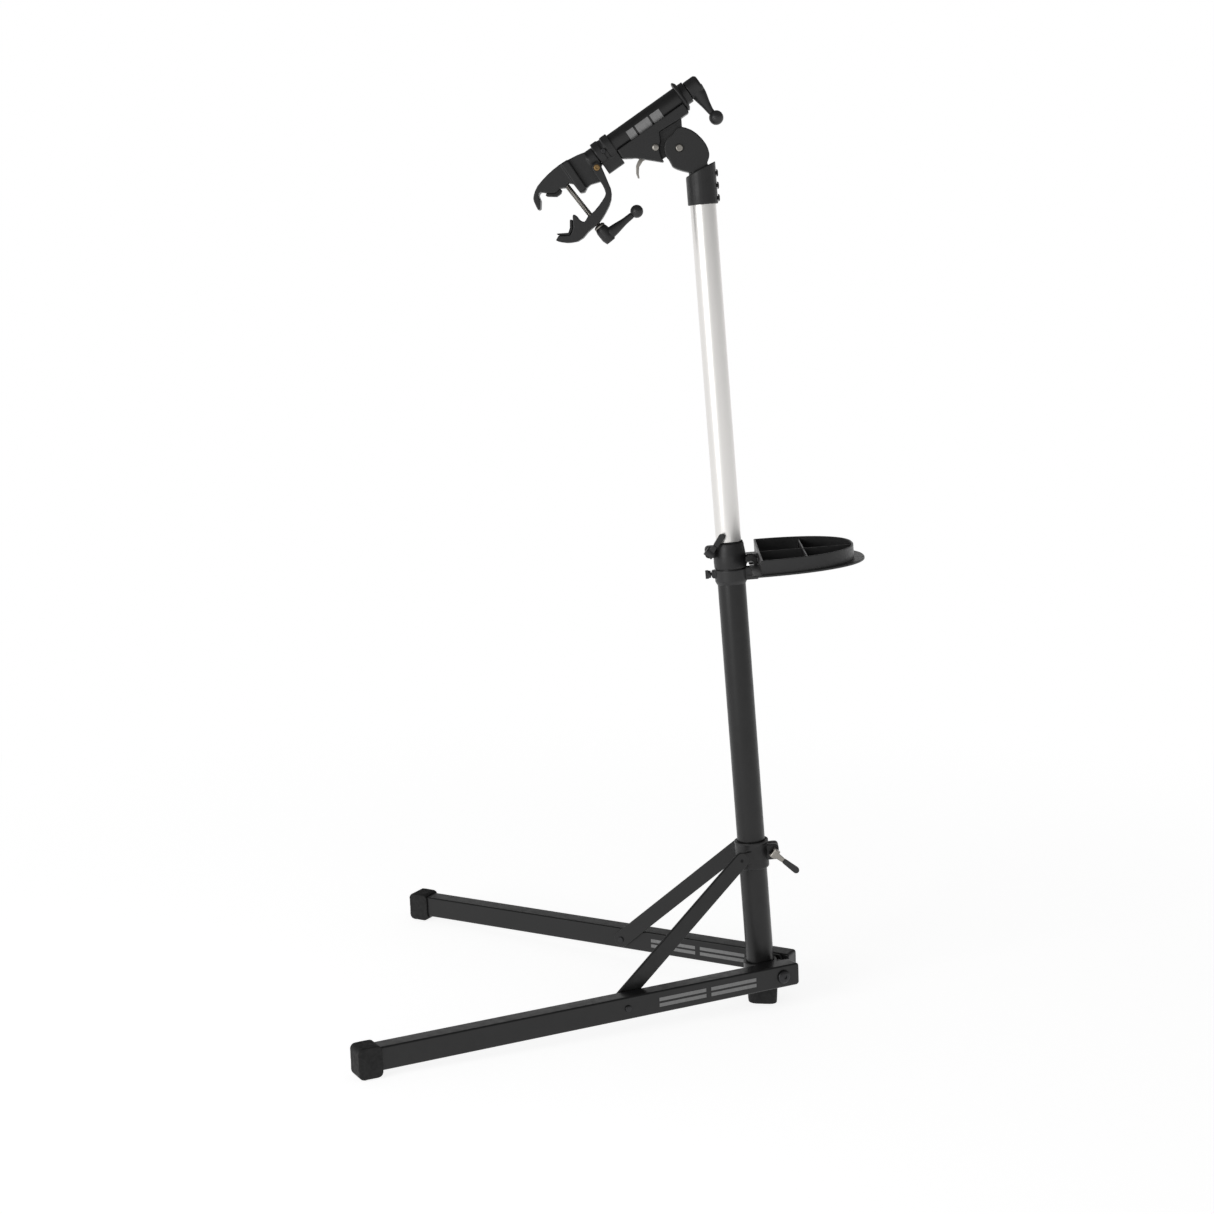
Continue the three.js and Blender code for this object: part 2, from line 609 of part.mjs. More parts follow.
function arm() {
  const half = 15.5;
  const tongueHalf = FORK.inner - GAP;
  const [cx, cz] = LATCH_PIVOT;
  const body = plate([
    [-70, 45],
    [-70, 32],
    [-54.7, 22],
    [-28.5, -3],
    ...arc([0, 0], 27, 186, 126, 8),
    [-10, 33],
    [22, 31],
    [37, 31],
    [37, 45],
  ], -half, half);
  const tongue = join(
    bar([0, -tongueHalf, 0], [0, tongueHalf, 0], 17, 32),
    plate([[-30, 1.5], [-8, 0], [13, 11], [27, 35], [-30, 36]], -tongueHalf, tongueHalf),
  );
  const latchPocket = plate([
    [-60, 24],
    [-62, -10],
    [-20, -10],
    [-8, 31],
    [-48, 31],
  ], tongueHalf, half + 1);
  const cradle = cut(
    join(body, tongue),
    onArm([[0, -120], [ARM.r + GAP, -120], [ARM.r + GAP, 120], [0, 120]]),
    latchPocket,
    bar([0, -30, 0], [0, 30, 0], BOLT + GAP),
    bar([cx, -30, cz], [cx, 30, cz], PIN + GAP),
  );
  add(armGroup, "arm_cradle", cradle, CAST);

  const { r, bore, front, rear } = ARM;
  add(armGroup, "arm_tube", onArm([[bore, front], [r, front], [r, rear], [bore, rear]]), PAINT);
  add(armGroup, "rear_flange", onArm([
    [r + GAP, 37.5],
    [20, 37.5],
    [21.5, 38.6],
    [21.5, 40.4],
    [18, 43],
    [r + GAP, 43],
  ]), CAST);

  const cradleBolt = headed([cx, -half, cz], [cx, half, cz], PIN, RIVET_HEAD);
  add(armGroup, "cradle_bolt", cradleBolt, STEEL);

  // The latch pivots on the cradle bolt: its nose meets the fork's rim, and its lower edge
  // runs out to a thin finger hook.
  const latch = cut(
    plate([
      [-17.6, 13.6],
      [-17.8, 11],
      [-27, 9.5],
      [-38, 13.5],
      [-50, 14.5],
      [-58, 11],
      [-63.5, 4],
      [-66, -1.5],
      [-68, -0.5],
      [-66.5, 6],
      [-61, 14.5],
      [-56, 18],
      [-46, 22.4],
      [-36, 29],
      [-20, 29],
      [-13.8, 17.4],
    ], 8.4, 13.4),
    bar([cx, 0, cz], [cx, 30, cz], PIN + GAP),
  );
  add(armGroup, "tilt_latch", latch, STEEL);

  // The lock collar hangs a bolt housing under the tube's front end.
  const collarRing = onArm([
    [r + GAP, front + 0.5],
    [r + 2.6, front + 0.5],
    [r + 2.6, front + 10],
    [r + 1.2, front + 11],
    [r + 1.2, front + 15],
    [r + 2.8, front + 16],
    [r + 2.8, front + 26],
    [r + GAP, front + 26],
  ]);
  const housing = cut(
    join(
      block(front + 0.5, front + 26, -11, 11, 33, 52),
      bar([front + 0.5, -5, 32], [front + 26, -5, 32], 6),
      bar([front + 0.5, 5, 32], [front + 26, 5, 32], 6),
      block(front + 0.5, front + 26, -5, 5, 26, 40),
    ),
    onArm([[0, -150], [r + GAP, -150], [r + GAP, 0], [0, 0]]),
  );
  add(armGroup, "lock_collar", join(collarRing, housing), CAST);
  const lockBolt = turned([[0, GAP], [3.6, GAP], [3.2, 2.4], [0, 2.8]], {
    segments: SMALL,
    at: [front + 11, -r - 2.8, ARM.height],
    axis: [0, -1, 0],
  });
  add(armGroup, "lock_bolt", lockBolt, BLACK_STEEL);
}

function rearHandle() {
  const x = 62;
  const hub = onArm([[0, 52], [12.4, 52], [13, 54], [13, 68], [10.5, 71], [0, 71]]);
  const lever = turned([[0, 0], [10.6, 2], [9.6, 14], [6.2, 28], [4.6, 38], [0, 38]], {
    segments: 20,
    at: [x, 0, ARM.height],
    axis: [0, 0, -1],
  });
  const neck = bar([x, 0, 18], [x + 1, 0, 8], 4.6);
  const knobR = 9.7;
  const knob = [x + 1.6, 0, 5];
  add(armGroup, "rear_handle", join(hub, lever, cut(neck, ball(knob, knobR + GAP))), CAST);
  add(armGroup, "rear_knob", ball(knob, knobR), PLASTIC);
}

// ---------- Jaws ----------
function jaws() {
  const { bore } = ARM;
  const [px, pz] = JAW_PIN;
  const [tx, tz] = SCREW.top;
  add(armGroup, "jaw_shaft", onArm([
    [9, -97],
    [bore - 0.6, -97],
    [bore - 0.6, 51],
    [9, 51],
  ]), STEEL);

  // Upper jaw: a wide hooked grip, a rib across it and a narrow hinge block behind.
  const grip = plate([
    ...smooth([[-131.8, 73], [-146, 73.7], [-165, 72.1], [-185, 67.4], [-196, 60.3], [-200.4, 54],
      [-202.5, 40.8]], 12),
    [-199.2, 40.4],
    ...smooth([[-192.4, 49.4], [-190.6, 57], [-185.6, 58.6], [-180.5, 53.4], [-171, 46.4],
      [-165.6, 46.4], [-161.5, 48.4]], 12),
    [-154.5, 44.1],
    [-148.8, 48],
    [-143.9, 43],
    [-143, 27.5],
    [-137.5, 25],
    [-131.8, 27.7],
  ], -JAW_HALF, JAW_HALF);
  const rib = [-1, 1].map((s) =>
    plate(rounded(-142.6, -132.2, 28, 72, 2), ...[s * 19, s * 22].sort((a, b) => a - b)));
  const hinge = plate([
    [-132.5, 73],
    [-118, 70.9],
    [-108, 68.5],
    [-108, 50],
    ...arc([px, pz], 6.4, 40, -70, 6),
    [-111, 24],
    [-125, 28.8],
    [-132.5, 27.8],
  ], -HINGE_HALF, HINGE_HALF);
  const neck = onArm([[0, -110], [14, -110], [14, JAW_NECK], [0, JAW_NECK]]);
  const screwSlot = plate([[tx - 8, 20], [tx + 8, 20], [tx + 8, tz + 8], [tx - 8, tz + 8]], -6, 6);
  const upper = cut(
    join(grip, hinge, neck, ...rib),
    screwSlot,
    bar([px, -30, pz], [px, 30, pz], PIN + GAP),
    bar([tx, -16, tz], [tx, 16, tz], PIN + GAP),
  );
  add(armGroup, "upper_jaw", upper, CAST);
  add(armGroup, "screw_pin", bar([tx, -15.7, tz], [tx, 15.7, tz], PIN), STEEL);

  const pin = join(
    headed([px, -CLAW_HALF, pz], [px, 0, pz], PIN, FLAT_HEAD),
    headed([px, CLAW_HALF, pz], [px, 0, pz], PIN, FLAT_HEAD),
  );
  add(armGroup, "jaw_pin", pin, BRASS);

  // Lower jaw: a curved claw. Its cheeks straddle the hinge block.
  const claw = plate([
    ...arc([px, pz], 6.5, 180, 10, 8),
    ...smooth([[-101.5, 30], [-104, 18], [-107, 6], [-116, -5.5], [-129, -13.2], [-144, -19.2],
      [-160, -20.5], [-178, -24.2], [-190.5, -19.8], [-197, -15.5]], 16),
    [-203, -10],
    [-206, -5.5],
    [-199.4, -2.3],
    ...smooth([[-186.4, -11], [-178, -6.4], [-171.4, 4], [-167.6, 9.2], [-164.4, 6.4],
      [-163.8, -1.5], [-159.7, -7.4], [-153, -4.2], [-142, -3.4], [-128, 0.6], [-117, 5.4],
      [-114, 10.3], [-112.4, 19], [-112.4, 32]], 24),
  ], -CLAW_HALF, CLAW_HALF);
  const cheekGap = HINGE_HALF + GAP;
  const lower = cut(
    claw,
    plate([[-90, 55], [-90, -4], [-124, -4], [-128, 55]], -cheekGap, cheekGap),
    bar([px, -30, pz], [px, 30, pz], PIN + GAP),
    plate([[-157, -40], [-157, 20], [-138, 20], [-138, -40]], -5, 5),
  );
  add(armGroup, "lower_jaw", lower, CAST);

  // Rubber pads line both grips.
  const upperPad = plate([
    [-180.4, 52.4],
    [-171, 45.5],
    [-165.6, 45.5],
    [-162, 47.2],
    [-162, 45.2],
    [-165, 42.8],
    [-172, 42.6],
    [-182.8, 50.6],
  ], -JAW_HALF + 1, JAW_HALF - 1);
  add(armGroup, "upper_pad", upperPad, RUBBER);
  const lowerPad = plate([
    [-198.6, -1.9],
    [-186.6, -9.9],
    [-178.8, -5.8],
    [-172.3, 4.2],
    [-174.4, 6],
    [-180.6, -3],
    [-186.2, -7.2],
    [-200, 1],
  ], -CLAW_HALF + 1, CLAW_HALF - 1);
  add(armGroup, "lower_pad", lowerPad, RUBBER);
}

// ---------- Clamp screw ----------
function clampScrew() {
  const [tx, tz] = SCREW.top;
  const [sx, sz] = SCREW.seat;
  const down = new THREE.Vector3(sx - tx, 0, sz - tz);
  const reach = down.length();
  const angle = Math.atan2(sx - tx, tz - sz);
  // Local frame: the origin is the pivot of the screw's eye, and -Z runs down the screw.
  const place = group(armGroup, new THREE.Matrix4().makeTranslation(tx, 0, tz)
    .multiply(new THREE.Matrix4().makeRotationY(-angle)));
  const { r, end } = SCREW;
  const screw = cut(
    join(bar([0, -5, 0], [0, 5, 0], 6.2), bar([0, 0, -3], [0, 0, -end], r)),
    bar([0, -9, 0], [0, 9, 0], PIN + GAP),
  );
  add(place, "clamp_screw", screw, STEEL);

  const bore = r + GAP;
  const top = -reach - 0.6;
  add(place, "thrust_washer", turned([
    [bore, top - 1],
    [5.4, top - 0.6],
    [8, top - 2.4],
    [8, top - 4],
    [bore, top - 4],
  ], { segments: 20 }), STEEL);
  const hubTop = top - 4 - GAP;
  const armZ = hubTop - CRANK.drop;
  const hub = turned([
    [bore, hubTop],
    [7.4, hubTop],
    [9, hubTop - 5],
    [9, hubTop - 17],
    [6.8, hubTop - 24],
    [bore, hubTop - 24],
  ], { segments: 24 });
  const neck = CRANK.reach - 6;
  const lever = turned([[0, 4], [8, 6], [7, 16], [4.8, 30], [4.2, neck], [0, neck]], {
    segments: SMALL,
    at: [0, 0, armZ],
    axis: [1, 0, 0],
  });
  const knobCentre = [CRANK.reach, 0, armZ];
  const crank = cut(
    join(hub, lever),
    bar([0, 0, -60], [0, 0, -130], bore, 24),
    ball(knobCentre, CRANK.knob + GAP),
  );
  add(place, "crank", crank, CAST);
  add(place, "crank_knob", ball(knobCentre, CRANK.knob), PLASTIC);
}

base();
for (const [name, frame] of Object.entries(legFrames)) {
  leg(name, frame);
  brace(name, frame);
}
foldCollar();
heightClamp();
tray();
upperMast();
arm();
rearHandle();
jaws();
clampScrew();

export default stand;
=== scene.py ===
"""Looks of a folding bicycle repair stand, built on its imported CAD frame.

The frame is in metres, +Z up. Every piece is made in a local frame in millimetres whose
place comes from the record's joints, and rides on the body of the CAD node it stands for.
"""

import json
import math

import bmesh
import bpy
from mathutils import Matrix, Vector

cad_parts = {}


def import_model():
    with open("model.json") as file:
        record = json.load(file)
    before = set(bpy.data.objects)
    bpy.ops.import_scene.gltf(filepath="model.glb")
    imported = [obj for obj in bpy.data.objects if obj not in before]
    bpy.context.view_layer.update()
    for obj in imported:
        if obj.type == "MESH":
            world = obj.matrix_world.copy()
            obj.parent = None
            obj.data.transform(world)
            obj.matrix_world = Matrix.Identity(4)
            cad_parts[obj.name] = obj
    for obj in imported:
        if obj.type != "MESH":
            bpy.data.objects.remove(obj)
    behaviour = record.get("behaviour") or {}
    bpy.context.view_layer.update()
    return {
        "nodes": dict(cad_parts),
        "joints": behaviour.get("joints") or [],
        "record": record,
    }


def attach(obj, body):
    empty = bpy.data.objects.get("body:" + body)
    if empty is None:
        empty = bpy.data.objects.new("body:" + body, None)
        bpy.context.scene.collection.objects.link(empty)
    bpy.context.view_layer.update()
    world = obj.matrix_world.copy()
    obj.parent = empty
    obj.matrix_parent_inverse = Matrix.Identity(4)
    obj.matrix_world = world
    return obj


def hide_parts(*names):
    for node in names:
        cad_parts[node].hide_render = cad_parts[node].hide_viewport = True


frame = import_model()

# ---------- Sizes that the record's joints don't give, in millimetres ----------
LEG_SPREAD = math.radians(28.7)
LEG_LENGTH = 638
LEG_DROP = math.asin((49 - 23.3) / LEG_LENGTH)
BRACE_ON_LEG = 248.4
BRACE_OFFSET = 16.1
ARM_HEIGHT = 55  # the arm tube's axis above the tilt bolt
EAR = 4.3  # the collar's ear and its clearance beside a brace

ROUND = 96  # sides of the tubes
SMALL = 40  # sides of bolts, pins and knobs
HEX = 6  # sides of nuts and sockets

# ---------- Frames ----------
JOINT = {j["name"]: j for j in frame["joints"]}
NODES = frame["nodes"]
RECORD = frame["record"]
BODY = {n: body for body, ns in RECORD["behaviour"]["bodies"].items() for n in ns}
SLOT = {s["node"]: s["material_slot"] for s in RECORD["subparts"]}
Y = Vector((0, 1, 0))


def frame_at(origin, x, y, z):
    """A frame in millimetres at a place in metres, with the given axes."""
    turn = Matrix([x, y, z]).transposed().to_4x4()
    return Matrix.Translation(origin) @ turn @ Matrix.Scale(0.001, 4)


def place_of(joint):
    return Vector(JOINT[joint]["pos_m"])


def axis_of(joint):
    return Vector(JOINT[joint]["axis"]).normalized()


def upright(origin, z):
    """A frame with the given Z axis whose X axis lies in the stand's mirror plane."""
    return frame_at(origin, Y.cross(z), Y, z)


MAST_UP = axis_of("mast_swivel")
WORLD = Matrix.Scale(0.001, 4)
MAST = upright(Vector(), MAST_UP)
ARM_X = axis_of("jaw_spin")
ARM = frame_at(place_of("arm_tilt"), ARM_X, Y, ARM_X.cross(Y))
SCREW = upright(place_of("screw_swing"), axis_of("crank_turn"))


def leg_frame(side, joint):
    along = Vector((-math.cos(LEG_SPREAD) * math.cos(LEG_DROP),
                    side * math.sin(LEG_SPREAD) * math.cos(LEG_DROP),
                    -math.sin(LEG_DROP)))
    across = MAST_UP.cross(along).normalized()
    return frame_at(place_of(joint), along, across, along.cross(across))


def brace_frame(leg, side, joint):
    ear = place_of(joint)
    foot = leg @ Vector((BRACE_ON_LEG, side * BRACE_OFFSET, 0))
    along = (foot - ear).normalized()
    across = leg.to_3x3().col[1].normalized()
    return frame_at(ear, along, across, along.cross(across))


SIDES = {"near": -1, "far": 1}
LEG = {n: leg_frame(s, f"leg_{n}_fold") for n, s in SIDES.items()}
BRACE = {n: brace_frame(LEG[n], s, f"brace_{n}_turn") for n, s in SIDES.items()}


def extents(node, place):
    """Lowest and highest corner of a CAD node in a local frame, in millimetres."""
    inverse = place.inverted()
    points = [inverse @ v.co for v in NODES[node].data.vertices]
    lo = Vector([min(p[i] for p in points) for i in range(3)])
    hi = Vector([max(p[i] for p in points) for i in range(3)])
    return lo, hi


# ---------- Outlines ----------
def arc(centre, r, start, end, steps=12):
    angles = [math.radians(start + (end - start) * i / steps) for i in range(steps + 1)]
    return [(centre[0] + r * math.cos(a), centre[1] + r * math.sin(a)) for a in angles]


def fillet(points, r, steps=4, closed=True):
    """The outline with each corner rounded by a curve that starts r away from it."""
    made = []
    n = len(points)
    for i, p in enumerate(points):
        if not closed and i in (0, n - 1):
            made.append(p)
            continue
        here = Vector(p)
        before = Vector(points[i - 1])
        after = Vector(points[(i + 1) % n])
        reach = min(r, (before - here).length * 0.48, (after - here).length * 0.48)
        start = here + (before - here).normalized() * reach
        end = here + (after - here).normalized() * reach
        for k in range(steps + 1):
            t = k / steps
            made.append(tuple(start * (1 - t) ** 2 + here * 2 * t * (1 - t) + end * t ** 2))
    return made


# ---------- Meshes ----------
def mesh_object(name, bm, place):
    """A linked object from a bmesh in a local frame."""
    bmesh.ops.recalc_face_normals(bm, faces=bm.faces)
    bm.transform(place)
    mesh = bpy.data.meshes.new(name)
    bm.to_mesh(mesh)
    bm.free()
    made = bpy.data.objects.new(name, mesh)
    bpy.context.scene.collection.objects.link(made)
    return made


def bridge(bm, rings):
    """Faces between rings of vertices; a ring of one vertex is a pole."""
    for a, b in zip(rings, rings[1:]):
        n = max(len(a), len(b))
        for i in range(n):
            k = (i + 1) % n
            corners = [a[i % len(a)], a[k % len(a)], b[k % len(b)], b[i % len(b)]]
            unique = list(dict.fromkeys(corners))
            if len(unique) > 2:
                bm.faces.new(unique)


def lathe(name, place, profile, axis="z", at=(0, 0, 0), segments=ROUND, closed=True):
    """(radius, height) points turned about an axis of the local frame. An open profile starts
    and ends on the axis."""
    bm = bmesh.new()
    turn = {"z": Matrix.Identity(4), "x": Matrix.Rotation(math.radians(90), 4, "Y"),
            "y": Matrix.Rotation(math.radians(-90), 4, "X")}[axis]
    put = Matrix.Translation(at) @ turn
    rings = []
    for r, z in profile:
        count = 1 if r < 1e-6 else segments
        step = 2 * math.pi / segments
        rings.append([bm.verts.new(put @ Vector((r * math.cos(i * step), r * math.sin(i * step), z)))
                      for i in range(count)])
    bridge(bm, rings + rings[:1] if closed else rings)
    return mesh_object(name, bm, place)


def turned(name, place, points, soft, axis="z", at=(0, 0, 0), segments=ROUND, steps=4):
    """A solid of revolution with softened corners, from an outline that starts and ends on its
    axis."""
    profile = fillet(points, soft, steps, closed=False)
    return lathe(name, place, profile, axis, at, segments, closed=False)


def ring(name, place, points, soft, axis="z", at=(0, 0, 0), segments=ROUND, steps=4):
    """A ring with softened corners, from a closed outline beside its axis."""
    return lathe(name, place, fillet(points, soft, steps), axis, at, segments)


def pipe(name, place, r, bore, low, high, lip=0.8):
    """A tube with rounded lips."""
    return ring(name, place, [(bore, low), (r, low), (r, high), (bore, high)], lip)


def plate(name, place, outline, y0, y1, edge=0.8, steps=3):
    """An outline of (x, z) points between two y values, with rounded edges."""
    bm = bmesh.new()
    loops = [[bm.verts.new((x, y, z)) for x, z in outline] for y in (y0, y1)]
    caps = [bm.faces.new(loops[0]), bm.faces.new(loops[1][::-1])]
    bridge(bm, loops)
    bmesh.ops.recalc_face_normals(bm, faces=bm.faces)
    rims = {e for f in caps for e in f.edges}
    if edge:
        bmesh.ops.bevel(bm, geom=list(rims), offset=edge, segments=steps, profile=0.5,
                        affect="EDGES", clamp_overlap=True)
    return mesh_object(name, bm, place)


def apply_modifiers(obj):
    graph = bpy.context.evaluated_depsgraph_get()
    mesh = bpy.data.meshes.new_from_object(obj.evaluated_get(graph))
    obj.modifiers.clear()
    obj.data = mesh
    return obj


def joined(name, objects):
    """One object that holds the meshes of several."""
    bm = bmesh.new()
    for o in objects:
        bm.from_mesh(o.data)
        bpy.data.objects.remove(o)
    mesh = bpy.data.meshes.new(name)
    bm.to_mesh(mesh)
    bm.free()
    made = bpy.data.objects.new(name, mesh)
    bpy.context.scene.collection.objects.link(made)
    return made


def minus(obj, *cutters):
    """The object with the cutters taken away."""
    for cutter in cutters:
        cutting = obj.modifiers.new("cut", "BOOLEAN")
        cutting.operation = "DIFFERENCE"
        cutting.solver = "EXACT"
        cutting.object = cutter
        apply_modifiers(obj)
        bpy.data.objects.remove(cutter)
    return obj


def plus(obj, *others):
    for other in others:
        adding = obj.modifiers.new("add", "BOOLEAN")
        adding.operation = "UNION"
        adding.solver = "EXACT"
        adding.object = other
        apply_modifiers(obj)
        bpy.data.objects.remove(other)
    return obj


def cad_copy(node):
    made = bpy.data.objects.new(f"{node}_copy", NODES[node].data.copy())
    bpy.context.scene.collection.objects.link(made)
    bm = bmesh.new()
    bm.from_mesh(made.data)
    bmesh.ops.remove_doubles(bm, verts=bm.verts, dist=1e-6)
    bm.to_mesh(made.data)
    bm.free()
    return made


def casting(node, *extras, voxel=0.65, passes=10, grow=0.0):
    """The CAD solid, joined with finer bodies that lie on it, as one surface with soft edges. It
    can grow by a part of a millimetre, to close the seam against its seat."""
    made = joined(f"{node}_look", [cad_copy(node), *extras])
    remesh = made.modifiers.new("skin", "REMESH")
    remesh.mode = "VOXEL"
    remesh.voxel_size = voxel * 0.001
    swell = made.modifiers.new("swell", "DISPLACE")
    swell.strength = grow * 0.001
    swell.mid_level = 0
    relax = made.modifiers.new("soften", "SMOOTH")
    relax.factor = 0.5
    relax.iterations = passes
    apply_modifiers(made)
    made.data.shade_smooth()
    return made


def shade(obj, angle=35):
    obj.data.shade_smooth()
    obj.data.set_sharp_from_angle(angle=math.radians(angle))
    return obj


def flat_shade(obj, angle=35):
    """Smooth rounded edges between flat faces."""
    shade(obj, angle)
    obj.modifiers.new("even", "WEIGHTED_NORMAL").keep_sharp = True
    return obj


# ---------- Materials ----------
class Surface:
    """A node material built step by step around one Principled shader."""

    def __init__(self, name, **values):
        self.material = bpy.data.materials.new(name)
        self.material.use_nodes = True
        self.tree = self.material.node_tree
        self.shader = self.tree.nodes["Principled BSDF"]
        for socket, value in values.items():
            self.shader.inputs[socket.replace("_", " ")].default_value = value
        self.coordinates = self.tree.nodes.new("ShaderNodeTexCoord").outputs["Object"]

    def link(self, output, target):
        self.tree.links.new(output, target)

    def noise(self, scale, detail=3.0, stretch=(1, 1, 1), turn=(0, 0, 0)):
        mapping = self.tree.nodes.new("ShaderNodeMapping")
        mapping.inputs["Scale"].default_value = stretch
        mapping.inputs["Rotation"].default_value = turn
        self.link(self.coordinates, mapping.inputs["Vector"])
        texture = self.tree.nodes.new("ShaderNodeTexNoise")
        texture.inputs["Scale"].default_value = scale
        texture.inputs["Detail"].default_value = detail
        self.link(mapping.outputs["Vector"], texture.inputs["Vector"])
        return texture.outputs["Fac"]

    def between(self, factor, low, high, start=0.35, end=0.65):
        """A number that follows a texture from low to high."""
        ranged = self.tree.nodes.new("ShaderNodeMapRange")
        for socket, value in (("From Min", start), ("From Max", end), ("To Min", low), ("To Max", high)):
            ranged.inputs[socket].default_value = value
        self.link(factor, ranged.inputs["Value"])
        return ranged.outputs["Result"]

    def colour(self, factor, first, second, target=None):
        mix = self.tree.nodes.new("ShaderNodeMix")
        mix.data_type = "RGBA"
        mix.inputs["A"].default_value = (*first, 1)
        mix.inputs["B"].default_value = (*second, 1)
        self.link(factor, mix.inputs["Factor"])
        self.link(mix.outputs["Result"], target or self.shader.inputs["Base Color"])
        return self

    def roughness(self, factor, low, high):
        self.link(self.between(factor, low, high), self.shader.inputs["Roughness"])
        return self

    def bump(self, factor, depth, strength=1.0):
        """Relief of the given depth in millimetres."""
        relief = self.tree.nodes.new("ShaderNodeBump")
        relief.inputs["Strength"].default_value = strength
        relief.inputs["Distance"].default_value = depth * 0.001
        self.link(factor, relief.inputs["Height"])
        self.link(relief.outputs["Normal"], self.shader.inputs["Normal"])
        return self


def powder_coat(name, base, rough, grain, relief):
    """Black powder coat: an even satin skin with orange peel and faint cloudiness."""
    s = Surface(name, Metallic=0.0, Specular_IOR_Level=0.36)
    lighter = tuple(c * 1.35 for c in base)
    s.colour(s.noise(18, 4), base, lighter)
    s.roughness(s.noise(90, 5), rough - 0.05, rough + 0.07)
    return s.bump(s.noise(grain, 2), relief).material


def moulded(name, base, rough):
    """Moulded plastic: a fine spark-eroded texture."""
    s = Surface(name, Specular_IOR_Level=0.36)
    s.colour(s.noise(40, 3), base, tuple(c * 1.25 for c in base))
    s.roughness(s.noise(300, 4), rough - 0.06, rough + 0.08)
    return s.bump(s.noise(2600, 3), 0.03).material


def rubber(name, base):
    s = Surface(name, Specular_IOR_Level=0.3)
    s.colour(s.noise(60, 5), base, tuple(c * 1.6 for c in base))
    s.roughness(s.noise(220, 5), 0.68, 0.88)
    return s.bump(s.noise(1500, 4), 0.05).material


def anodised(name, base, lean):
    """Satin anodised tube: drawing lines run along it."""
    s = Surface(name, Metallic=1.0)
    lines = s.noise(900, 4, stretch=(1, 1, 0.004), turn=(0, lean, 0))
    s.colour(lines, tuple(c * 0.95 for c in base), base)
    s.roughness(lines, 0.3, 0.4)
    return s.bump(s.noise(2200, 2), 0.004).material


def bright_metal(name, base, rough, scale=420):
    """Plated or turned metal: fine scratches and a little uneven tarnish."""
    s = Surface(name, Metallic=1.0)
    s.colour(s.noise(70, 5), tuple(c * 0.82 for c in base), base)
    s.roughness(s.noise(scale, 6), rough - 0.08, rough + 0.12)
    return s.bump(s.noise(scale * 3, 4), 0.006).material


MATERIAL = {
    "black_paint": powder_coat("black_paint", (0.009, 0.009, 0.0092), 0.34, 900, 0.03),
    "cast_black": powder_coat("cast_black", (0.012, 0.012, 0.0123), 0.42, 1300, 0.05),
    "black_plastic": moulded("black_plastic", (0.019, 0.019, 0.0195), 0.4),
    "black_rubber": rubber("black_rubber", (0.012, 0.012, 0.012)),
    "silver_tube": anodised("silver_tube", (0.8, 0.785, 0.765), math.acos(MAST_UP.z)),
    "bright_steel": bright_metal("bright_steel", (0.3, 0.285, 0.26), 0.34),
    "black_steel": bright_metal("black_steel", (0.05, 0.05, 0.052), 0.4),
    "brass_pin": bright_metal("brass_pin", (0.25, 0.16, 0.07), 0.4),
}


def settle(obj, node):
    """Names the piece, gives it its material, and lets it stand for the CAD node."""
    obj.name = f"{node}_look"
    obj.data.materials.clear()
    obj.data.materials.append(MATERIAL[SLOT[node]])
    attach(obj, BODY[node])
    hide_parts(node)
    return obj


# ---------- Bolts ----------
def hex_pocket(name, place, at, across, depth, axis="z"):
    """A prism for a hex socket, centred on a place."""
    r = across / math.sqrt(3)
    return lathe(name, place, [(0, -depth), (r, -depth), (r, depth), (0, depth)], axis, at,
                 segments=HEX, closed=False)


def drill(place, r, low, high, axis="z", at=(0, 0, 0)):
    """A cylinder for a bore."""
    return lathe("bore", place, [(0, low), (r, low), (r, high), (0, high)], axis, at, SMALL, closed=False)


def headed_pin(node, place, seat, end, r, head, pocket=0):
    """A pin along Y of its frame: `seat` and `end` are (x, y, z), and the head is a
    (radius, height) profile that stands out from the seat."""
    out = 1 if seat[1] > end[1] else -1
    shank = [(0, end[1] - seat[1]), (r, end[1] - seat[1]), (r, 0.3 * out)]
    cap = [(radius, (z + 0.3) * out) for radius, z in head]
    profile = fillet(shank + cap, 0.5, 3, closed=False)
    pin = lathe("pin", place, profile, "y", seat, SMALL, closed=False)
    if pocket:
        top = seat[1] + out * (head[-1][1] + 0.3)
        pin = minus(pin, hex_pocket("pocket", place, (seat[0], top, seat[2]), pocket, 1.4, "y"))
    return settle(shade(pin, 30), node)


BUTTON = [(5, 0), (4.9, 0.9), (4.2, 1.9), (2.6, 2.4), (0, 2.5)]
FLAT = [(4.5, 0), (4.3, 1.1), (3.6, 1.7), (0, 1.9)]


# ---------- Base, legs and braces ----------
def base():
    for node, wall, lip in (("lower_tube", 1.5, 0.7), ("upper_tube", 1.8, 0.6), ("mast_seal", 1.7, 0.9)):
        lo, hi = extents(node, MAST)
        made = pipe(node, MAST, hi.x, hi.x - wall, lo.z, hi.z, lip)
        settle(shade(made), node)
    settle(casting("post_foot", voxel=0.7, passes=12), "post_foot")
    sleeve = pipe("sleeve", MAST, 24, 19.9, 30, 60, 1.5)
    settle(casting("leg_bracket", sleeve), "leg_bracket")
    settle(casting("guide_bush", voxel=0.8), "guide_bush")


